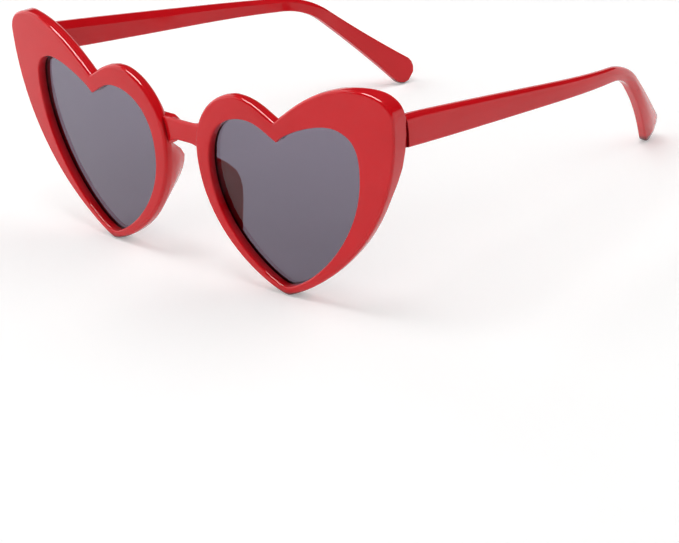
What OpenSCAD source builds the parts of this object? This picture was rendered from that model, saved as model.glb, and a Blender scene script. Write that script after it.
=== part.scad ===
// Heart shaped sunglasses: one moulded front with two heart rims, a bridge and nose pads,
// two snapped-in lenses, and two temples on three-knuckle metal hinges.
// The front stands across X with its face towards -Y, the temples run back along +Y, Z is up.
// The heart feet and the temple tips stand on z = 0. The wearer's left side is at +X.

/* [Front] */
// Width across both hearts
front_w = 144; // [132:1:156]
// Height of a heart from foot to outer lobe
heart_h = 60; // [54:0.5:66]
// Distance between the two hearts where they are closest
heart_gap = 12; // [9:0.5:16]
// Radius of the wrap of the front face, seen from above
wrap_r = 480; // [300:10:900]
// Thickness of the front at its middle
rim_t = 3.8; // [3.6:0.1:5]
// Thickness of the front at its outer edges
end_t = 4.4; // [4:0.1:5]
// Extra thickness of the front where a temple meets it
end_swell = 1.4; // [0.8:0.1:1.8]
// Distance from the temple over which the extra thickness fades out
swell_reach = 20; // [12:1:24]
// Radius of the rounded front edge of a heart
edge_r = 0.9; // [0.4:0.1:1.2]
// Radius of the rounded front edge of a lens opening
opening_r = 0.5; // [0.2:0.1:0.7]
// Radius of the rounded rear edge of a heart, where its rim is wide enough
rear_r = 2; // [0.8:0.1:2.2]

/* [Lenses] */
// Width of the rim beside the nose
rim_inner = 4.5; // [3.5:0.1:6]
// Width of the rim at the temple side
rim_outer = 11.2; // [9:0.1:13]
// Height of the rim under the lens opening
rim_base = 2.4; // [2.1:0.1:4]
// Height of the rim over the lens opening
rim_top = 10.9; // [8:0.1:13]
// Depth of the lens behind the front face
lens_recess = 2.3; // [1.5:0.1:2.4]
// Thickness of a lens
lens_t = 1; // [0.6:0.1:1]
// Depth of the groove that holds the lens
groove_d = 0.9; // [0.6:0.1:1.1]
// Gap between the lens and the walls of its groove
lens_gap = 0.05; // [0.03:0.01:0.1]

/* [Bridge] */
// Distance of the middle of the bridge below the top of the hearts
bridge_below = 21.8; // [18:0.1:24]
// Height of the bridge at its middle
bridge_h = 5.9; // [4:0.1:7]
// Depth of the bridge behind the front face
bridge_recess = 1.5; // [0.8:0.1:2]
// Thickness of the bridge from front to rear
bridge_t = 3.4; // [2.6:0.1:4]
// Radius of the bridge's rounded edges
bridge_r = 0.7; // [0.4:0.1:1]
// Fall of the bridge's top towards its rear, midway between the hearts
top_fall = 1.3; // [0.4:0.1:1.6]
// Length beside each heart over which the top comes back to the level
shoulder_w = 3; // [2:0.1:4]
// Length of the flare under the bridge where it meets a heart
flare_w = 4.5; // [2.5:0.1:5]
// Drop of the flare under the bridge
flare_h = 1.8; // [1:0.1:4]

/* [Nose pads] */
// Distance of the top of a nose pad below the middle of the bridge
pad_below = 1.6; // [0.4:0.1:3]
// Height of a nose pad
pad_h = 26; // [20:0.5:28]
// How far a nose pad stands out behind its rim
pad_depth = 6.4; // [4:0.1:7]
// How far a nose pad leans away from the nose
pad_lean = 4.3; // [2:0.1:5]
// Set-in of a nose pad's flank where it leaves the side of its rim
flank_inset = 0.1; // [0.05:0.05:0.3]
// Thickness of a nose pad at its ridge
pad_ridge = 1.6; // [1.2:0.1:2.4]

/* [Temples] */
// Length of the temple along its line, from the hinge end to the tip
temple_len = 145; // [136:1:152]
// Length along the line from the hinge end to the middle of the ear bend
bend_place = 99; // [92:1:106]
// Length of the ear bend along the line
bend_len = 17; // [16:1:34]
// Length along the line from the hinge end to where the temple starts to curve inwards
curl_place = 54; // [30:1:60]
// Length along the line from the hinge end to the slimmest place
neck_place = 98; // [88:1:104]
// Height of the temple at the hinge end
temple_h = 8.2; // [7.9:0.1:12]
// Height of the temple at its slimmest place
neck_h = 3.8; // [3.2:0.1:6]
// Height of the paddle at the tip
paddle_h = 8.7; // [8:0.1:12]
// Thickness of the temple at the hinge end
temple_t = 3.5; // [3.3:0.1:4.5]
// Thickness of the temple at the tip
ear_t = 2.4; // [2.2:0.1:3.4]
// Distance of the temple's middle below the top of the hearts, at the hinge end
temple_below = 10.9; // [9.5:0.1:13]
// Angle of the temple towards the head at the hinge end
temple_in = 2.9; // [2:0.1:6]
// Angle of the temple towards the head at the tip
ear_in = 30; // [10:1:34]
// Angle of the ear piece below the level
ear_drop = 42.9; // [35:0.1:55]
// Width of the bevel along the upper inside edge, before the ear bend
bevel_w = 1; // [0.8:0.1:1.4]
// Height of the bevel along the upper inside edge, before the ear bend
bevel_h = 2.2; // [1.2:0.1:2.4]
// Width of the broad rounding along the upper outside edge, before the ear bend
brow_w = 1.4; // [0.8:0.1:1.4]
// Height of the broad rounding along the upper outside edge, before the ear bend
brow_h = 2.2; // [1:0.1:2.4]
// Radius of the other rounded edges of the temple
temple_r = 0.6; // [0.4:0.1:1]
// Radius of the corners of the paddle
paddle_r = 3.7; // [2:0.1:3.8]
// Crown of the temple's outer face
crown = 0.15; // [0.1:0.05:0.4]

/* [Hinges] */
// Height of the three knuckles together
hinge_h = 6.2; // [5.6:0.3:6.2]
// Outer radius of a knuckle
knuckle_r = 1.5; // [1.4:0.05:1.6]
// Radius of the hinge screw's shank
screw_r = 0.7; // [0.6:0.05:0.8]
// Radial clearance of the turning knuckle on the screw
screw_play = 0.04; // [0.02:0.01:0.08]
// Radius of the hinge screw's head
head_r = 1.15; // [1:0.05:1.2]
// Height of the hinge screw's head
head_h = 0.5; // [0.4:0.1:0.7]
// Thickness of a hinge leaf
leaf_t = 0.8; // [0.6:0.05:0.9]
// Gap between a knuckle and what turns past it
hinge_gap = 0.3; // [0.3:0.05:0.4]
// Gap between two knuckles, one above the other
knuckle_gap = 0.1; // [0.07:0.03:0.13]
// Set-in of the webs that carry the knuckles from a knuckle's sides
web_inset = 0.2; // [0.1:0.05:0.3]
// Gap between the end of the temple and the front
butt_gap = 0.1; // [0.05:0.05:0.15]
// Radius of the rear edge of the front beside the temple
seat_r = 0.4; // [0.2:0.1:0.6]
// How far the hinge seat stands out behind the edge of the front
seat_rise = 0.25; // [0.2:0.05:0.5]
// Reach of the front leaf from the hinge axis towards the lens
front_leaf_w = 4.6; // [4.4:0.1:4.8]
// Length of the temple leaf behind the hinge axis
temple_leaf_l = 6.2; // [6:0.1:8]
// Height of the temple leaf's plate
temple_leaf_h = 4.2; // [4:0.1:4.6]
// Radius of a leaf screw's shank
fix_r = 0.5; // [0.4:0.05:0.6]
// Radius of a leaf screw's head
fix_head_r = 0.85; // [0.75:0.05:0.9]
// Height of a leaf screw's head
fix_head_h = 0.35; // [0.3:0.05:0.4]
// Length of a leaf screw's shank
fix_len = 2.2; // [1.6:0.1:2.4]

/* [Hidden] */

frame_red = [0.72, 0.1, 0.13];
lens_grey = [0.42, 0.4, 0.44, 0.8];
steel = [0.75, 0.75, 0.77];

// Overrun of a cut past the face that it opens
over = 0.5;
// Steps of the curves that round bodies are drawn with
round_steps = 48;
// Steps of the wide curves that follow the wrap of the front
wrap_steps = 720;

// Each row of an outline is a node, then its handle towards the last node, then its handle
// towards the next node. All are shares of the outline's width and height, for the +X heart,
// in the order cleft, inner lobe, inner side, foot, outer side, outer lobe.
heart_shares = [
    [[0.436, 0.795], [0.052, 0.040], [-0.053, 0.030]],
    [[0.242, 0.876], [0.088, 0], [-0.091, 0]],
    [[0, 0.562], [0, 0.212], [0, -0.395]],
    [[0.424, 0], [-0.062, 0], [0.022, 0]],
    [[1, 0.889], [0, -0.638], [0, 0.077]],
    [[0.842, 1], [0.087, 0], [-0.192, 0]]
];
opening_shares = [
    [[0.489, 0.856], [0.042, 0.056], [-0.072, 0.040]],
    [[0.282, 0.943], [0.088, 0], [-0.130, 0]],
    [[0, 0.614], [0, 0.245], [0, -0.377]],
    [[0.451, 0], [-0.067, 0], [0.124, 0]],
    [[1, 0.799], [0, -0.455], [0, 0.130]],
    [[0.885, 0.992], [0.069, -0.023], [-0.106, 0.035]]
];
// Sections of the rim along each stretch from one node to the next
stretch_steps = [10, 16, 24, 24, 14, 18];
// Sections of the bridge from its middle to a heart
bridge_steps = 12;
// Share of the bridge's fall that has come by the middle of its thickness
crest_share = 0.35;
// Sections of the temple before the ear bend, along it and behind it
temple_steps = [16, 12, 8];
// Share of the nose pad's height over which its top grows out of the rim
pad_top_share = 0.3;
// Power of the curve of the nose pad's flank, from the rim's side to the ridge
flank_share = 1.6;
// Steps of the flank
flank_steps = 5;
// Largest share of the rim's width that its rounded rear edge may take
rear_share = 0.4;
// Largest share of the temple's thickness that one edge may take
edge_share = 0.4;
// Largest share of half the temple's height that one edge may take
edge_rise_share = 0.6;
// Power that brings the highest place of a nose pad above its middle
pad_rise_share = 0.8;
// Power that makes the paddle widen late
paddle_share = 2;
// Share of the hinge's height between its middle and a screw of the front leaf
fixing_share = 0.28;
// Shares of the temple leaf's length at which its screws sit
temple_fixing_shares = [0.42, 0.8];

half_w = front_w / 2;
heart_x = heart_gap / 2;
heart_w = half_w - heart_x;
opening_w = heart_w - rim_inner - rim_outer;
opening_h = heart_h - rim_base - rim_top;
bridge_z = heart_h - bridge_below;
pad_top = bridge_z - pad_below;
pad_foot = pad_top - pad_h;
temple_z = heart_h - temple_below;
groove_front = lens_recess;
groove_rear = lens_recess + lens_t + 2 * lens_gap;
lip_bevel = (rim_t - groove_rear) / 2;

function smooth(q) = q * q * (3 - 2 * q);
// How near the place p = [x, z] of the face is to the temple, from 0 to 1
function nearness(p) = smooth(max(1 - norm(p - [half_w, temple_z]) / swell_reach, 0));
// Radius of the rounded rear edge where the rim is w wide and the temple is so near
function rear_round(w, near) =
    let (q = smooth(min(2 * near, 1)))
    min(rear_r, w * rear_share) * (1 - q) + seat_r * q;
// Thickness of the front at the place p = [x, z] of its face
function front_t(p) = rim_t + (end_t - rim_t) * pow(p[0] / half_w, 2) + end_swell * nearness(p);
// Point of the wrapped front that lies d behind the place (u, z) of its face
function wrapped(u, z, d) =
    let (a = asin(u / wrap_r))
    [u - d * sin(a), wrap_r * (1 - cos(a)) + d * cos(a), z];

function bezier(a, b, c, d, t) =
    pow(1 - t, 3) * a + 3 * t * pow(1 - t, 2) * b + 3 * t * t * (1 - t) * c + pow(t, 3) * d;
function scaled(p, w, h) = [p[0] * w, p[1] * h];
// Points of an outline of the given shares, in a box of width w and height h
function outline(shares, w, h) = [
    for (i = [0:len(shares) - 1])
        let (
            from = shares[i],
            to = shares[(i + 1) % len(shares)],
            a = scaled(from[0], w, h),
            d = scaled(to[0], w, h),
            b = a + scaled(from[2], w, h),
            c = d + scaled(to[1], w, h)
        )
        for (k = [0:stretch_steps[i] - 1]) bezier(a, b, c, d, k / stretch_steps[i])
];

heart_line = [for (p = outline(heart_shares, heart_w, heart_h)) p + [heart_x, 0]];
opening_line = [
    for (p = outline(opening_shares, opening_w, opening_h)) p + [heart_x + rim_inner, rim_base]
];

// Place on the rim's face, w from the heart's edge towards the opening, on section i
function rim_place(i, w) =
    let (across = opening_line[i] - heart_line[i])
    heart_line[i] + across * w / norm(across);
function rim_width(i) = norm(opening_line[i] - heart_line[i]);

// Section of the rim as [distance from the heart's edge, depth behind the face], with the
// thickness t and the rear radius r at the heart's edge and the thickness lip_t at the opening
function rim_profile(w, t, r, lip_t) = concat(
    [for (a = [0:22.5:90]) [r * (1 - sin(a)), t - r * (1 - cos(a))]],
    [for (a = [0:22.5:90]) [edge_r * (1 - cos(a)), edge_r * (1 - sin(a))]],
    [for (a = [0:30:90]) [w - opening_r * (1 - sin(a)), opening_r * (1 - cos(a))]],
    [[w, groove_front], [w - groove_d, groove_front]],
    [[w - groove_d, groove_rear], [w, groove_rear]],
    [[w, lip_t - lip_bevel], [w - lip_bevel, lip_t]]
);
rim_rings = [
    for (i = [0:len(heart_line) - 1])
        let (
            w = rim_width(i),
            r = rear_round(w, nearness(heart_line[i])),
            t = front_t(heart_line[i])
        )
        [
            for (q = rim_profile(w, t, r, front_t(opening_line[i])))
                let (p = rim_place(i, q[0]))
                wrapped(p[0], p[1], q[1])
        ]
];

// Solid through rings of equally many points, closed on itself or capped at both ends
module loft(rings, closed = false) {
    n = len(rings);
    m = len(rings[0]);
    sides = [
        for (i = [0:(closed ? n - 1 : n - 2)], j = [0:m - 1])
            let (
                a = i * m + j,
                b = i * m + (j + 1) % m,
                c = ((i + 1) % n) * m + (j + 1) % m,
                d = ((i + 1) % n) * m + j
            )
            each [[a, b, c], [a, c, d]]
    ];
    caps = closed ? [] : [
        [for (j = [m - 1:-1:0]) j],
        [for (j = [0:m - 1]) (n - 1) * m + j]
    ];
    polyhedron([for (r = rings) each r], concat(sides, caps), convexity = 8);
}

// Hinge and temple places, on the +X side
butt_t = end_t + end_swell;
temple_x = wrapped(half_w, 0, butt_t)[0];
butt_y = wrapped(half_w, 0, butt_t)[1] + seat_rise;
axis_off = knuckle_r + hinge_gap;
hinge_x = temple_x - temple_t - axis_off;
hinge_y = butt_y + axis_off;
hinge_z = temple_z - bevel_h / 3;
knuckle_h = (hinge_h - 2 * knuckle_gap) / 3;
web_w = 2 * (knuckle_r - web_inset);
// Distance of the temple's inner face from the hinge axis
leaf_off = axis_off * cos(temple_in) - (axis_off - butt_gap) * sin(temple_in);
seat_x = hinge_x - front_leaf_w - hinge_gap;
seat_front = wrapped(seat_x, 0, groove_rear)[1];

// Line of the temple's outer face, from the hinge end to the tip. Its slope changes evenly along
// the ear bend, so that the two slopes set the height of the tip.
function passed(s, from, to) = min(max((s - from) / (to - from), 0), 1);
bend_from = bend_place - bend_len / 2;
bend_to = bend_place + bend_len / 2;
// Direction across the temple's thickness, where its line runs along the given direction
function aside(along) =
    let (across = cross(along, [0, -along[2], norm([along[0], along[1]])]))
    across / norm(across);
// Rise of the ear piece's section along its height and its fall across its thickness
ear_along = [-sin(ear_in) * cos(ear_drop), cos(ear_in) * cos(ear_drop), -sin(ear_drop)];
ear_up = cross(aside(ear_along), ear_along)[2];
ear_side = -aside(ear_along)[2];
// Height of the tip's middle, with which the tip's lowest corner stands on the ground
tip_z = paddle_r * (norm([sin(ear_drop), ear_up]) - sin(ear_drop))
    + (paddle_h / 2 - paddle_r) * ear_up
    - temple_r * (ear_side + ear_up - norm([ear_side, ear_up]));
ear_rise = (temple_len - bend_place) * sin(ear_drop);
temple_drop = asin((temple_z - tip_z - ear_rise) / bend_place);
function bend_share(s) = passed(s, bend_from, bend_to);
function heading(s) =
    let (
        turn = temple_in + (ear_in - temple_in) * smooth(passed(s, curl_place, temple_len)),
        fall = sin(temple_drop) * (1 - bend_share(s)) + sin(ear_drop) * bend_share(s),
        level = sqrt(1 - fall * fall)
    )
    [-sin(turn) * level, cos(turn) * level, -fall];
temple_stations = concat(
    [for (k = [0:temple_steps[0] - 1]) bend_from * k / temple_steps[0]],
    [for (k = [0:temple_steps[1] - 1]) bend_from + bend_len * k / temple_steps[1]],
    [
        for (k = [0:temple_steps[2] - 1])
            bend_to + (temple_len - bend_to - paddle_r) * k / temple_steps[2]
    ],
    [for (a = [0:22.5:90]) temple_len - paddle_r * (1 - sin(a))]
);
// Point of the line at each station
temple_line = [
    for (
        k = 0, p = [temple_x, butt_y + butt_gap, temple_z];
        k < len(temple_stations);
        p = p + step_after(k), k = k + 1
    ) p
];
function step_after(k) =
    k + 1 == len(temple_stations) ? [0, 0, 0]
    : let (a = temple_stations[k], b = temple_stations[k + 1]) (b - a) * heading((a + b) / 2);

// Height of the temple at distance s along its line
function temple_height(s) =
    let (to_neck = min(s / neck_place, 1), paddle_from = temple_len - paddle_r)
    temple_h + (neck_h - temple_h) * (to_neck + smooth(to_neck)) / 2
    + (paddle_h - neck_h) * pow(passed(s, neck_place, paddle_from), paddle_share);
// What a rounded end of radius r takes off each side at distance s along the path
function end_cut(s, r) =
    let (q = r - (temple_len - s))
    q > 0 ? r - sqrt(r * r - q * q) : 0;

// Size of an upper edge at distance s along the line. It fades into the plain rounding of the ear
// piece and is kept within its room.
function upper_edge(size, s, room) = min(size + (temple_r - size) * bend_share(s), room);

// Section of the temple as [distance outwards, distance upwards] from the line
function temple_profile(s) =
    let (
        side = end_cut(s, temple_r),
        t = temple_t + (ear_t - temple_t) * s / temple_len - 2 * side,
        h = temple_height(s) / 2 - end_cut(s, paddle_r),
        r = min(temple_r, t * edge_share),
        across = t * edge_share,
        rise = h * edge_rise_share,
        brow = [upper_edge(brow_w, s, across), upper_edge(brow_h, s, rise)],
        bevel = [upper_edge(bevel_w, s, across), upper_edge(bevel_h, s, rise)],
        outline = concat(
            [for (a = [0:30:90]) [-r * (1 - sin(a)), r * (1 - cos(a)) - h]],
            [[crown * (1 - side / temple_r), 0]],
            [for (a = [0:22.5:90]) [-brow[0] * (1 - cos(a)), h - brow[1] * (1 - sin(a))]],
            [[bevel[0] - t, h], [-t, h - bevel[1]]],
            [[-t, r / 2 - h], [r / 2 - t, -h]]
        )
    )
    [for (q = outline) q - [side, 0]];
temple_rings = [
    for (k = [0:len(temple_stations) - 1])
        let (
            s = temple_stations[k],
            along = heading(s),
            out = s == 0 ? [1, 0, 0] : aside(along),
            up = s == 0 ? [0, 0, 1] : cross(out, along)
        )
        [for (q = temple_profile(s)) temple_line[k] + q[0] * out + q[1] * up]
];

// Middle of the whole object from front to rear
mid_y = (
    min([for (r = rim_rings) for (p = r) p[1]]) + max([for (r = temple_rings) for (p = r) p[1]])
) / 2;

module left_side() {
    translate([0, -mid_y, 0]) children();
}
module right_side() {
    left_side() mirror([1, 0, 0]) children();
}
module at_hinge(turn = 0) {
    translate([hinge_x, hinge_y, hinge_z]) rotate([0, 0, turn]) children();
}

// Bridge between the hearts, set back from their faces, with a shoulder against each of them
function bridge_section(u) =
    let (
        q = passed(abs(u), heart_x - flare_w, heart_x),
        low = bridge_z - bridge_h / 2 - flare_h * (1 - sqrt(1 - q * q)),
        high = bridge_z + bridge_h / 2,
        fall = top_fall * (1 - smooth(passed(abs(u), heart_x - shoulder_w, heart_x))),
        front = bridge_recess,
        rear = bridge_recess + bridge_t,
        crest = high - fall * crest_share
    )
    concat(
        [for (a = [0:30:90]) [rear - bridge_r * (1 - cos(a)), low + bridge_r * (1 - sin(a))]],
        [for (a = [0:30:90]) [front + bridge_r * (1 - sin(a)), low + bridge_r * (1 - cos(a))]],
        [for (a = [0:30:90]) [front + bridge_r * (1 - cos(a)), high - bridge_r * (1 - sin(a))]],
        [[(front + rear) / 2, crest]],
        [for (a = [0:30:90]) [rear - bridge_r * (1 - sin(a)), high - fall - bridge_r * (1 - cos(a))]]
    );
bridge_end = heart_x + rim_inner - groove_d;
bridge_stations = concat(
    [-bridge_end],
    [for (k = [-bridge_steps:bridge_steps]) heart_x * sin(90 * k / bridge_steps)],
    [bridge_end]
);
module bridge() {
    loft([
        for (u = bridge_stations)
            [for (q = bridge_section(u)) wrapped(u, q[1], q[0])]
    ]);
}

// Nose pad, a fin on the rear of the rim beside the nose
function pad_height(q) =
    pad_depth * sin(180 * pow(q, pad_rise_share)) * smooth(passed(q, 0, pad_top_share));
pad_sections = [
    for (i = [stretch_steps[0]:stretch_steps[0] + stretch_steps[1] + stretch_steps[2]])
        if (heart_line[i][1] <= pad_top && heart_line[i][1] >= pad_foot) i
];
function pad_section(i) =
    let (
        q = (pad_top - heart_line[i][1]) / (pad_top - pad_foot),
        w = rim_width(i),
        t = front_t(heart_line[i]),
        seat = (t + groove_rear) / 2,
        ridge = t + max(pad_height(q), t - seat),
        r = min(pad_ridge, ridge - seat) / 2,
        lean = w / 2 + (pad_lean - w / 2) * (ridge - t) / pad_depth,
        root = [flank_inset, t - rear_round(w, 0)],
        crest = [lean - r, ridge - r]
    )
    concat(
        [for (a = [0:30:180]) [lean + r * cos(a), ridge - r + r * sin(a)]],
        [
            for (k = [flank_steps - 1:-1:0])
                let (q = k / flank_steps)
                [root[0] + (crest[0] - root[0]) * pow(q, flank_share), root[1] + (crest[1] - root[1]) * q]
        ],
        [[w / 2, seat], [w - opening_r, seat]]
    );
module nose_pad() {
    loft([
        for (i = pad_sections)
            [for (q = pad_section(i)) let (p = rim_place(i, q[0])) wrapped(p[0], p[1], q[1])]
    ]);
}

// Flat seat of a hinge on the rear of the heart's outer side
module hinge_seat() {
    intersection() {
        rotate([90, 0, 0])
            linear_extrude(3 * butt_y, center = true)
                polygon([for (r = rim_rings) [r[0][0], r[0][2]]]);
        translate([seat_x, seat_front, temple_z - temple_h / 2])
            cube([temple_x - seat_x, butt_y - seat_front, temple_h]);
    }
}

// Plate of the front leaf, which is let into its seat
module front_plate() {
    translate([-front_leaf_w, -axis_off - leaf_t, -hinge_h / 2])
        cube([front_leaf_w + knuckle_r, leaf_t, hinge_h]);
}
module at_front_fixings() {
    for (side = [-1, 1])
        translate([-(front_leaf_w + knuckle_r) / 2, -axis_off, side * fixing_share * hinge_h])
            rotate([90, 0, 0]) children();
}
// Plate of the temple leaf, which is let into the temple's inner face and follows its drop
module temple_plate() {
    fall = tan(temple_drop);
    translate([leaf_off, 0, 0])
        rotate([90, 0, 90])
            linear_extrude(leaf_t)
                polygon([
                    for (end = [[-knuckle_r, -1], [temple_leaf_l, -1], [temple_leaf_l, 1], [-knuckle_r, 1]])
                        [end[0], end[1] * temple_leaf_h / 2 - fall * end[0]]
                ]);
}
module at_temple_fixings() {
    for (share = temple_fixing_shares)
        translate([leaf_off, share * temple_leaf_l, -share * temple_leaf_l * tan(temple_drop)])
            rotate([0, 90, 0]) children();
}
// Screw that holds a leaf, from the top of its head along +Z
module leaf_screw() {
    cylinder(h = fix_head_h, r = fix_head_r, $fn = round_steps);
    cylinder(h = fix_len, r = fix_r, $fn = round_steps);
}
// Knuckle at a level of the hinge, with the web that the children draw
module knuckle(level, bore_r) {
    translate([0, 0, level * (knuckle_h + knuckle_gap)]) difference() {
        union() {
            cylinder(h = knuckle_h, r = knuckle_r, center = true, $fn = round_steps);
            children();
        }
        cylinder(h = knuckle_h + 2 * over, r = bore_r, center = true, $fn = round_steps);
    }
}
module front_web() {
    translate([-web_w / 2, -axis_off, -knuckle_h / 2]) cube([web_w, axis_off, knuckle_h]);
}
module temple_web() {
    translate([0, -web_w / 2, -knuckle_h / 2]) cube([leaf_off, web_w, knuckle_h]);
}

module rim() {
    loft(rim_rings, closed = true);
}
module front_side() {
    difference() {
        union() {
            rim();
            nose_pad();
            hinge_seat();
        }
        at_hinge() {
            front_plate();
            at_front_fixings() leaf_screw();
        }
    }
}
module front_frame() {
    color(frame_red) left_side() {
        front_side();
        mirror([1, 0, 0]) front_side();
        bridge();
    }
}

module lens() {
    lens_line = [
        for (i = [0:len(heart_line) - 1])
            let (
                p = rim_place(i, rim_width(i) - groove_d + lens_gap),
                q = wrapped(p[0], p[1], lens_recess + lens_t / 2)
            )
            [q[0], q[2]]
    ];
    front_r = wrap_r - lens_recess - lens_gap;
    color(lens_grey) intersection() {
        rotate([90, 0, 0]) linear_extrude(4 * butt_y, center = true) polygon(lens_line);
        translate([0, wrap_r, 0]) difference() {
            cylinder(h = heart_h, r = front_r, $fn = wrap_steps);
            translate([0, 0, -over])
                cylinder(h = heart_h + 2 * over, r = front_r - lens_t, $fn = wrap_steps);
        }
    }
}
module temple() {
    color(frame_red) difference() {
        loft(temple_rings);
        at_hinge(temple_in) {
            temple_plate();
            at_temple_fixings() leaf_screw();
        }
    }
}
module front_leaf() {
    color(steel) at_hinge() {
        difference() {
            front_plate();
            at_front_fixings() leaf_screw();
        }
        knuckle(1, screw_r + screw_play) front_web();
        knuckle(-1, screw_r) front_web();
    }
}
module temple_leaf() {
    color(steel) at_hinge(temple_in) {
        difference() {
            temple_plate();
            at_temple_fixings() leaf_screw();
        }
        knuckle(0, screw_r + screw_play) temple_web();
    }
}
module hinge_screw() {
    color(steel) at_hinge() difference() {
        union() {
            cylinder(h = hinge_h, r = screw_r, center = true, $fn = round_steps);
            translate([0, 0, hinge_h / 2]) cylinder(h = head_h, r = head_r, $fn = round_steps);
        }
        translate([-head_r, -screw_r / 4, hinge_h / 2 + head_h / 2])
            cube([2 * head_r, screw_r / 2, head_h]);
    }
}
module front_leaf_screws() {
    color(steel) at_hinge() at_front_fixings() leaf_screw();
}
module temple_leaf_screws() {
    color(steel) at_hinge(temple_in) at_temple_fixings() leaf_screw();
}

front_frame();
left_side() lens();  // left_lens
right_side() lens();  // right_lens
left_side() temple();  // left_temple
right_side() temple();  // right_temple
left_side() front_leaf();  // left_front_leaf
right_side() front_leaf();  // right_front_leaf
left_side() temple_leaf();  // left_temple_leaf
right_side() temple_leaf();  // right_temple_leaf
left_side() hinge_screw();  // left_hinge_screw
right_side() hinge_screw();  // right_hinge_screw
left_side() front_leaf_screws();  // left_front_leaf_screws
right_side() front_leaf_screws();  // right_front_leaf_screws
left_side() temple_leaf_screws();  // left_temple_leaf_screws
right_side() temple_leaf_screws();  // right_temple_leaf_screws
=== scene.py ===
# Heart shaped sunglasses: materials, stage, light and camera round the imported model. Lengths are in metres.
import math

import bmesh
import bpy
from mathutils import Matrix, Vector


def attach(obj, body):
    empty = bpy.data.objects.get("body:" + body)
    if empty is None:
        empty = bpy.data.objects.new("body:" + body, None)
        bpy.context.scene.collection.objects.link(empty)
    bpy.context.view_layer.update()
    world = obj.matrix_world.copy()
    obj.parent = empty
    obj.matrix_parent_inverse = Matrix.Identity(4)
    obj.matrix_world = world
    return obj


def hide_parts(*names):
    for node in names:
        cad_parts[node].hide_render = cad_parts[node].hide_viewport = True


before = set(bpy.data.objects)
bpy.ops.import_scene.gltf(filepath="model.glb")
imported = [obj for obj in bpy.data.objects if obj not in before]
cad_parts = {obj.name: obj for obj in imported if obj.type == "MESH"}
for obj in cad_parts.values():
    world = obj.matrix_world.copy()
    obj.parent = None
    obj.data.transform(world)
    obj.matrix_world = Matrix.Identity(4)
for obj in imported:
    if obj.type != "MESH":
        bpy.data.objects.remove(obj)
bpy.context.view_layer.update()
bpy.ops.object.select_all(action="DESELECT")
print("frame loaded with", len(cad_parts), "nodes")

scene = bpy.context.scene
scene.view_settings.view_transform = "Standard"

# smooth is in degrees; inward is the side on which a temple's inner face looks, along x
moulded = {
    "front_frame": {
        "name": "moulded_front",
        "body": "front",
        "slot": "front",
        "smooth": 40,
        "inward": 0,
    },
    "left_temple": {
        "name": "moulded_left_temple",
        "body": "left_temple",
        "slot": "temple",
        "smooth": 36,
        "inward": -1,
    },
    "right_temple": {
        "name": "moulded_right_temple",
        "body": "right_temple",
        "slot": "temple",
        "smooth": 36,
        "inward": 1,
    },
}
earDome = {
    # in millimetres: the middle of the outer face, half the width of its flat part and the dome's rise
    "line": [
        (64.447, 29.855, 34.109, 1.4, 0.0),
        (63.150, 35.176, 32.684, 1.32, 0.12),
        (61.719, 40.097, 30.286, 1.32, 0.26),
        (60.262, 44.399, 26.915, 1.42, 0.36),
        (57.967, 50.147, 21.163, 1.72, 0.44),
        (55.348, 55.755, 15.411, 2.21, 0.5),
        (52.475, 61.238, 9.659, 2.89, 0.55),
        (49.438, 66.631, 3.907, 3.75, 0.45),
        (48.084, 68.980, 1.388, 0.6, 0.0),
    ],
    "depth": 0.03,  # how far under the face a point still belongs to it, in millimetres
    "rounds": 2,  # each round halves the strips
    "leastStep": 0.1,  # a shorter edge across the face isn't cut, as a share of the half width
    "widest": 1.1,  # nor is one that ends further out than this share
}
smoothing = {
    "mergeDistance": 0.000002,
    "ridgeTurn": math.radians(15),
    "ridgeLean": 0.45,  # least x of the normals on both sides of a kept ridge
    "faceWeight": 60,
}
millimetres = 1000  # in a metre


def copyOfNode(nodeName, pieceName):
    bpy.ops.object.select_all(action="DESELECT")
    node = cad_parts[nodeName]
    node.select_set(True)
    bpy.context.view_layer.objects.active = node
    bpy.ops.object.duplicate()
    piece = bpy.context.object
    piece.name = pieceName
    piece.data.name = pieceName
    return piece


def mergePoints(piece):
    bpy.ops.object.mode_set(mode="EDIT")
    bpy.ops.mesh.customdata_custom_splitnormals_clear()
    bpy.ops.mesh.select_all(action="SELECT")
    bpy.ops.mesh.remove_doubles(threshold=smoothing["mergeDistance"])
    bpy.ops.object.mode_set(mode="OBJECT")


def earPlace(point):
    # where a point lies on the ear piece's outer face, or None when it isn't on it:
    # the place across it as a share of the half width, the dome's rise there and the direction outwards
    side = math.copysign(1, point.x)
    point = Vector((abs(point.x), point.y, point.z)) * millimetres
    nearest, place = math.inf, None
    for start, end in zip(earDome["line"], earDome["line"][1:]):
        way = Vector(end[:3]) - Vector(start[:3])
        share = min(max((point - Vector(start[:3])).dot(way) / way.length_squared, 0), 1)
        away = point - Vector(start[:3]) - share * way
        if away.length >= nearest:
            continue
        nearest = away.length
        along = way.normalized()
        aside = along.cross(Vector((0, -along.z, along.xy.length))).normalized()
        half, rise = (start[k] + (end[k] - start[k]) * share for k in (3, 4))
        across = away.dot(aside.cross(along)) / half
        onFace = rise > 0 and away.dot(aside) > -earDome["depth"]
        place = (across, rise, Vector((side * aside.x, aside.y, aside.z))) if onFace else None
    return place


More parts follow.
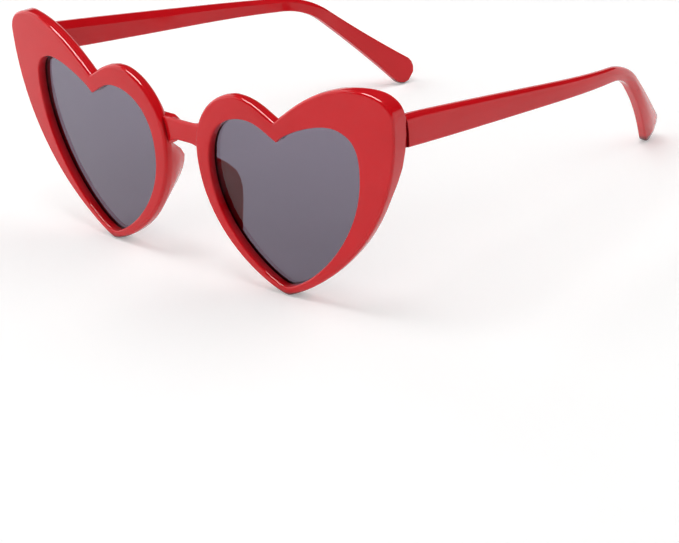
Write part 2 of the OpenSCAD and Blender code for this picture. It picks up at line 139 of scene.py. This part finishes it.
def domeEar(piece):
    # the ear piece's outer face is gently domed: it is cut into strips along its length and raised
    shape = bmesh.new()
    shape.from_mesh(piece.data)
    for _ in range(earDome["rounds"]):
        places = {vertex: earPlace(vertex.co) for vertex in shape.verts}
        crossing = []
        for edge in shape.edges:
            ends = [places[vertex] for vertex in edge.verts]
            if not all(ends):
                continue
            step = abs(ends[0][0] - ends[1][0])
            if step > earDome["leastStep"] and all(abs(end[0]) < earDome["widest"] for end in ends):
                crossing.append(edge)
        cut = bmesh.ops.bisect_edges(shape, edges=crossing, cuts=1)["geom_split"]
        added = [part for part in cut if isinstance(part, bmesh.types.BMVert)]
        bmesh.ops.connect_verts(shape, verts=added)
    for vertex in shape.verts:
        place = earPlace(vertex.co)
        if place and abs(place[0]) < 1:
            across, rise, outward = place
            vertex.co += outward * rise * (1 - across**2) / millimetres
    shape.to_mesh(piece.data)
    shape.free()


def keepRidge(piece, inward):
    # the line between a temple's bevel and its inner face stays crisp
    sides = {}
    for face in piece.data.polygons:
        for edgeKey in face.edge_keys:
            sides.setdefault(edgeKey, []).append(face.normal)
    for edge in piece.data.edges:
        normals = sides[edge.key]
        leans = [inward * normal.x for normal in normals]
        facesInward = len(leans) == 2 and min(leans) > smoothing["ridgeLean"]
        if facesInward and normals[0].angle(normals[1], 0) > smoothing["ridgeTurn"]:
            edge.use_edge_sharp = True


def makeMoulded(nodeName, look):
    # a smooth copy of the moulded part, whose flat faces stay flat and whose rounded edges catch the light
    piece = copyOfNode(nodeName, look["name"])
    mergePoints(piece)
    if look["inward"]:
        domeEar(piece)
    bpy.ops.object.shade_smooth_by_angle(angle=math.radians(look["smooth"]))
    if look["inward"]:
        keepRidge(piece, look["inward"])
    weighted = piece.modifiers.new("flatFaces", "WEIGHTED_NORMAL")
    weighted.keep_sharp = True
    weighted.weight = smoothing["faceWeight"]
    bpy.ops.object.modifier_apply(modifier=weighted.name)
    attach(piece, look["body"])
    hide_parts(nodeName)
    return piece


mouldedPieces = [makeMoulded(nodeName, look) for nodeName, look in moulded.items()]
print("moulded parts smoothed")


# shader maths: a wrapped socket, so that an expression adds its own nodes
class Link:
    def __init__(self, shader, socket):
        self.shader = shader
        self.socket = socket

    def maths(self, operation, *values):
        made = self.shader.add("ShaderNodeMath", {"operation": operation}, dict(enumerate(values)))
        return made["Value"]

    def __add__(self, other):
        return self.maths("ADD", self, other)

    def __radd__(self, other):
        return self.maths("ADD", other, self)

    def __sub__(self, other):
        return self.maths("SUBTRACT", self, other)

    def __rsub__(self, other):
        return self.maths("SUBTRACT", other, self)

    def __mul__(self, other):
        return self.maths("MULTIPLY", self, other)

    def __rmul__(self, other):
        return self.maths("MULTIPLY", other, self)

    def clip(self):
        made = self.shader.add("ShaderNodeClamp", {}, {"Value": self})
        return made["Result"]

    def band(self, low, high):
        # 0 at low, 1 at high, smooth in between
        made = self.shader.add(
            "ShaderNodeMapRange",
            {"interpolation_type": "SMOOTHSTEP"},
            {"Value": self, "From Min": low, "From Max": high},
        )
        return made["Result"]


class Shader:
    def __init__(self, tree):
        self.tree = tree
        tree.nodes.clear()

    def add(self, kind, settings, values):
        # settings first, then the values or links of the sockets; gives the outputs by name
        node = self.tree.nodes.new(kind)
        for name, value in settings.items():
            setattr(node, name, value)
        for name, value in values.items():
            socket = self.findSocket(node, name)
            if isinstance(value, Link):
                self.tree.links.new(value.socket, socket)
            else:
                socket.default_value = value
        return {output.name: Link(self, output) for output in node.outputs if output.enabled}

    def findSocket(self, node, name):
        if isinstance(name, int):
            return node.inputs[name]
        return next(socket for socket in node.inputs if socket.name == name and socket.enabled)

    def mixColor(self, factor, first, second):
        values = {"Factor": factor, "A": first, "B": second}
        return self.add("ShaderNodeMix", {"data_type": "RGBA"}, values)["Result"]

    def objectPoint(self):
        return self.add("ShaderNodeTexCoord", {}, {})["Object"]

    def stretched(self, point, scale):
        return self.add("ShaderNodeMapping", {}, {"Vector": point, "Scale": scale})["Vector"]

    def heightOf(self, point):
        return self.add("ShaderNodeSeparateXYZ", {}, {"Vector": point})["Z"]

    def seenRays(self):
        # 1 for what the camera sees, straight, in a reflection or through a lens, and 0 for light on surfaces
        rays = self.add("ShaderNodeLightPath", {}, {})
        return (rays["Is Camera Ray"] + rays["Is Glossy Ray"] + rays["Is Transmission Ray"]).clip()

    def noise(self, point, scale, detail, roughness):
        values = {"Vector": point, "Scale": scale, "Detail": detail, "Roughness": roughness}
        return self.add("ShaderNodeTexNoise", {}, values)["Fac"]

    def bump(self, height, strength, distance):
        values = {"Height": height, "Strength": strength, "Distance": distance}
        return self.add("ShaderNodeBump", {}, values)["Normal"]

    def principled(self, values):
        return self.add("ShaderNodeBsdfPrincipled", {}, values)["BSDF"]

    def finish(self, surface):
        self.add("ShaderNodeOutputMaterial", {}, {"Surface": surface})


def linear(tone, shade=1.0):
    # a colour as seen on screen, 0 to 255, to the linear values that the shader wants
    parts = []
    for part in tone:
        share = part * shade / 255
        parts.append(share / 12.92 if share <= 0.04045 else ((share + 0.055) / 1.055) ** 2.4)
    return (*parts, 1.0)


def newShader(name):
    material = bpy.data.materials.new(name)
    material.use_nodes = True
    return material, Shader(material.node_tree)


redPlastic = {
    "face": (216, 12, 24),
    "deep": (208, 8, 19),
    "light": (223, 16, 29),
    "faceShare": 0.5,
    "roughness": 0.08,
    "ior": 1.5,
    "level": 0.36,
    "flowSize": 0.035,
    "flowBand": (0.35, 0.65),
    "flowRough": 0.06,
    "specksSize": 0.0004,
    "specksRough": 0.05,
    "peelSize": 0.0011,
    "peelHeight": 0.000004,
    "peelStrength": 0.35,
    # painted shade in the grooves and inner corners: its reach, band, samples and dark tone
    "paintedShadeReach": 0.0035,
    "paintedShadeBand": (0.3, 0.9),
    "paintedShadeSamples": 8,
    "paintedShadeTone": (96, 2, 6),
}


def makeRedPlastic():
    # glossy moulded plastic: clouds of colour from the moulding flow, faint orange peel, fine handling marks
    # and shade painted into its grooves and inner corners
    look = redPlastic
    material, shader = newShader("red_plastic")
    point = shader.objectPoint()
    flow = shader.noise(point, 1 / look["flowSize"], detail=3.0, roughness=0.55)
    specks = shader.noise(point, 1 / look["specksSize"], detail=2.0, roughness=0.6)
    peel = shader.noise(point, 1 / look["peelSize"], detail=1.0, roughness=0.4)
    tone = shader.mixColor(flow.band(*look["flowBand"]), linear(look["deep"]), linear(look["light"]))
    tone = shader.mixColor(look["faceShare"], tone, linear(look["face"]))
    # painted shade: ambient occlusion darkens the colour in the grooves and inner corners, where shade falls
    settings = {"samples": look["paintedShadeSamples"]}
    openToLight = shader.add("ShaderNodeAmbientOcclusion", settings, {"Distance": look["paintedShadeReach"]})["AO"]
    tone = shader.mixColor(openToLight.band(*look["paintedShadeBand"]), linear(look["paintedShadeTone"]), tone)
    rough = look["roughness"] + (specks - 0.5) * look["specksRough"] + (flow - 0.5) * look["flowRough"]
    values = {
        "Base Color": tone,
        "Roughness": rough,
        "Normal": shader.bump(peel, look["peelStrength"], look["peelHeight"]),
        "IOR": look["ior"],
        "Specular IOR Level": look["level"],
    }
    shader.finish(shader.principled(values))
    return material


lensLook = {
    "tint": (115, 108, 123),
    # painted shade and painted light: the tint is made darker at the lens's foot and lighter at its top
    "footPaintedShade": 0.93,
    "topPaintedLight": 1.05,
    "lowHeight": 0.005,
    "highHeight": 0.055,
    "ior": 1.38,
    "roughness": 0.02,
    "marksSize": 0.004,
    "marksRough": 0.01,
}


def makeLensGlass():
    # smoke coloured moulded lens, see-through, with painted shade darkening its foot and painted light at its
    # top, and a barely uneven polish
    look = lensLook
    material, shader = newShader("smoke_lens")
    point = shader.objectPoint()
    # painted shade low down and painted light high up, graded by height
    paintedShadeGrade = shader.heightOf(point).band(look["lowHeight"], look["highHeight"])
    shadedTint = linear(look["tint"], look["footPaintedShade"])
    litTint = linear(look["tint"], look["topPaintedLight"])
    marks = shader.noise(point, 1 / look["marksSize"], detail=1.0, roughness=0.4)
    values = {
        "Base Color": shader.mixColor(paintedShadeGrade, shadedTint, litTint),
        "Roughness": look["roughness"] + (marks - 0.5) * look["marksRough"],
        "IOR": look["ior"],
        "Transmission Weight": 1.0,
    }
    shader.finish(shader.principled(values))
    return material


steelLook = {
    "bright": (196, 198, 202),
    "dark": (150, 152, 158),
    "roughness": 0.3,
    "grain": 0.00025,
    "grainBand": (0.3, 0.7),
    "grainRough": 0.2,
    "grainDepth": 0.00001,
    "grainStrength": 0.4,
    "patchSize": 0.0025,
    "patchRough": 0.1,
}


def makeBrushedSteel(name, stretch):
    # plated steel with fine drawn lines along the part
    look = steelLook
    material, shader = newShader(name)
    point = shader.objectPoint()
    grain = shader.noise(shader.stretched(point, stretch), 1 / look["grain"], detail=3.0, roughness=0.6)
    patch = shader.noise(point, 1 / look["patchSize"], detail=2.0, roughness=0.5)
    tone = shader.mixColor(grain.band(*look["grainBand"]), linear(look["dark"]), linear(look["bright"]))
    rough = look["roughness"] + (grain - 0.5) * look["grainRough"] + (patch - 0.5) * look["patchRough"]
    values = {
        "Base Color": tone,
        "Metallic": 1.0,
        "Roughness": rough,
        "Normal": shader.bump(grain, look["grainStrength"], look["grainDepth"]),
    }
    shader.finish(shader.principled(values))
    return material


finishes = {
    "red": makeRedPlastic(),
    "lens": makeLensGlass(),
    "leaf": makeBrushedSteel("drawn_steel", (1, 0.12, 1)),
    "screw": makeBrushedSteel("turned_steel", (1, 1, 0.2)),
}

sideFinish = {
    "temple": "red",
    "lens": "lens",
    "front_leaf": "leaf",
    "temple_leaf": "leaf",
    "hinge_screw": "screw",
    "front_leaf_screws": "screw",
    "temple_leaf_screws": "screw",
}
nodeFinish = {"front_frame": "red"}
for side in ("left", "right"):
    nodeFinish.update({f"{side}_{kind}": finishName for kind, finishName in sideFinish.items()})


def dress(piece, finish):
    if not piece.material_slots:
        piece.data.materials.append(None)
    for materialSlot in piece.material_slots:
        materialSlot.material = finish


for nodeName, finishName in nodeFinish.items():
    dress(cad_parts[nodeName], finishes[finishName])
for piece in mouldedPieces:
    dress(piece, finishes["red"])
print("finishes on the nodes")

floorLook = {
    "half": 6.0,
    "tone": (240, 240, 240),
    "secondTone": (243, 243, 242),
    "toneScale": 30.0,
    "roughness": 0.9,
    "level": 0.1,
    "white": 0.24,
    "whiteFrom": 0.35,
    "whiteFull": 1.6,
}


def makeFloor():
    # plain pale floor; it shows white to the camera and in reflections and keeps the shadow
    look = floorLook
    bpy.ops.mesh.primitive_plane_add(size=2 * look["half"], location=(0, 0, 0))
    floor = bpy.context.object
    floor.name = "floor"
    material, shader = newShader("floor_paper")
    point = shader.objectPoint()
    away = shader.add("ShaderNodeVectorMath", {"operation": "LENGTH"}, {0: point})["Value"]
    paper = shader.noise(point, look["toneScale"], detail=2.0, roughness=0.5)
    values = {
        "Base Color": shader.mixColor(paper, linear(look["tone"]), linear(look["secondTone"])),
        "Roughness": look["roughness"],
        "Specular IOR Level": look["level"],
    }
    matt = shader.principled(values)
    # the lamps' light fades further out, so the white rises there
    white = look["white"] + away.band(look["whiteFrom"], look["whiteFull"]) * (1 - look["white"])
    values = {"Color": (1, 1, 1, 1), "Strength": white * shader.seenRays()}
    glow = shader.add("ShaderNodeEmission", {}, values)["Emission"]
    shader.finish(shader.add("ShaderNodeAddShader", {}, {0: matt, 1: glow})["Shader"])
    floor.data.materials.append(material)


worldLook = {
    "low": 0.04,
    "high": 0.2,
    "rise": (0.3, 0.95),
    "whiteBand": 0.13,
    "whiteFade": 0.06,
}


def makeWorld():
    # a quiet studio, dark low down, with a white band behind the floor's far edge
    look = worldLook
    world = bpy.data.worlds.new("studio")
    scene.world = world
    world.use_nodes = True
    shader = Shader(world.node_tree)
    height = shader.heightOf(shader.add("ShaderNodeTexCoord", {}, {})["Generated"])
    level = look["low"] + height.band(*look["rise"]) * (look["high"] - look["low"])
    aboveBand = height.band(look["whiteBand"], look["whiteBand"] + look["whiteFade"])
    white = shader.seenRays() * (1 - aboveBand)
    values = {"Color": (1, 1, 1, 1), "Strength": level + white * (1 - level)}
    light = shader.add("ShaderNodeBackground", {}, values)["Background"]
    shader.add("ShaderNodeOutputWorld", {}, {"Surface": light})


lampAim = (0, 0, 0.03)
lampSteep = 0.9  # a lamp whose direction has a greater z than this hangs level
lamps = {
    "overhead": {
        "toward": (-0.08, -0.12, 1.0),
        "away": 1.1,
        "size": (0.75, 0.36),
        "power": 3.6,
        "diffuse": True,
        "gloss": True,
    },
    "overhead_glint": {
        "toward": (-0.08, -0.12, 1.0),
        "away": 1.11,
        "size": (0.75, 0.36),
        "power": 20.5,
        "diffuse": False,
        "gloss": True,
    },
    "soft_side": {
        "toward": (-0.872, -0.217, 0.438),
        "away": 1.2,
        "size": (1.85, 1.1),
        "power": 9.6,
        "diffuse": True,
        "gloss": True,
    },
    "soft_back": {
        "toward": (0.5, 0.62, 0.6),
        "away": 1.2,
        "size": (1.6, 1.1),
        "power": 7.2,
        "diffuse": True,
        "gloss": False,
    },
    "front_fill": {
        "toward": (0.2, -0.82, 0.3),
        "away": 1.3,
        "size": (1.4, 1.0),
        "power": 5.5,
        "diffuse": True,
        "gloss": False,
    },
}


def makeLamp(name, look):
    aim = Vector(lampAim)
    place = aim + Vector(look["toward"]).normalized() * look["away"]
    bpy.ops.object.light_add(type="AREA", location=place)
    lamp = bpy.context.object
    lamp.name = name
    lamp.data.shape = "RECTANGLE"
    lamp.data.size, lamp.data.size_y = look["size"]
    lamp.data.energy = look["power"]
    lamp.visible_diffuse = look["diffuse"]
    lamp.visible_glossy = look["gloss"]
    if look["toward"][2] < lampSteep:
        lamp.rotation_euler = (aim - place).to_track_quat("-Z", "Y").to_euler()


makeFloor()
makeWorld()
for lampName, lampLook in lamps.items():
    makeLamp(lampName, lampLook)
print("stage and light in place")

cameraLook = {
    "azimuth": 0.796476,
    "elevation": 0.425643,
    "roll": -0.092973,
    "away": 0.57536,
    "target": (0.038192, -0.054192, 0.002045),
    "sensor": 36.0,
    "focal": 2218.37,
    "pixels": 679,
    "near": 0.01,
    "far": 50,
}


def makeCamera():
    look = cameraLook
    azimuth, elevation, roll = look["azimuth"], look["elevation"], look["roll"]
    back = Vector(
        (
            math.sin(azimuth) * math.cos(elevation),
            -math.cos(azimuth) * math.cos(elevation),
            math.sin(elevation),
        )
    )
    right = Vector((0, 0, 1)).cross(back).normalized()
    upward = back.cross(right)
    turnedRight = math.cos(roll) * right + math.sin(roll) * upward
    turnedUp = -math.sin(roll) * right + math.cos(roll) * upward
    place = Vector(look["target"]) + look["away"] * back
    bpy.ops.object.camera_add(location=place)
    camera = bpy.context.object
    camera.name = "camera"
    turn = Matrix((turnedRight, turnedUp, back)).transposed()
    camera.rotation_euler = turn.to_euler()
    camera.data.sensor_fit = "HORIZONTAL"
    camera.data.sensor_width = look["sensor"]
    camera.data.lens = look["focal"] / look["pixels"] * look["sensor"]
    camera.data.clip_start = look["near"]
    camera.data.clip_end = look["far"]
    scene.camera = camera


makeCamera()
print("camera set")
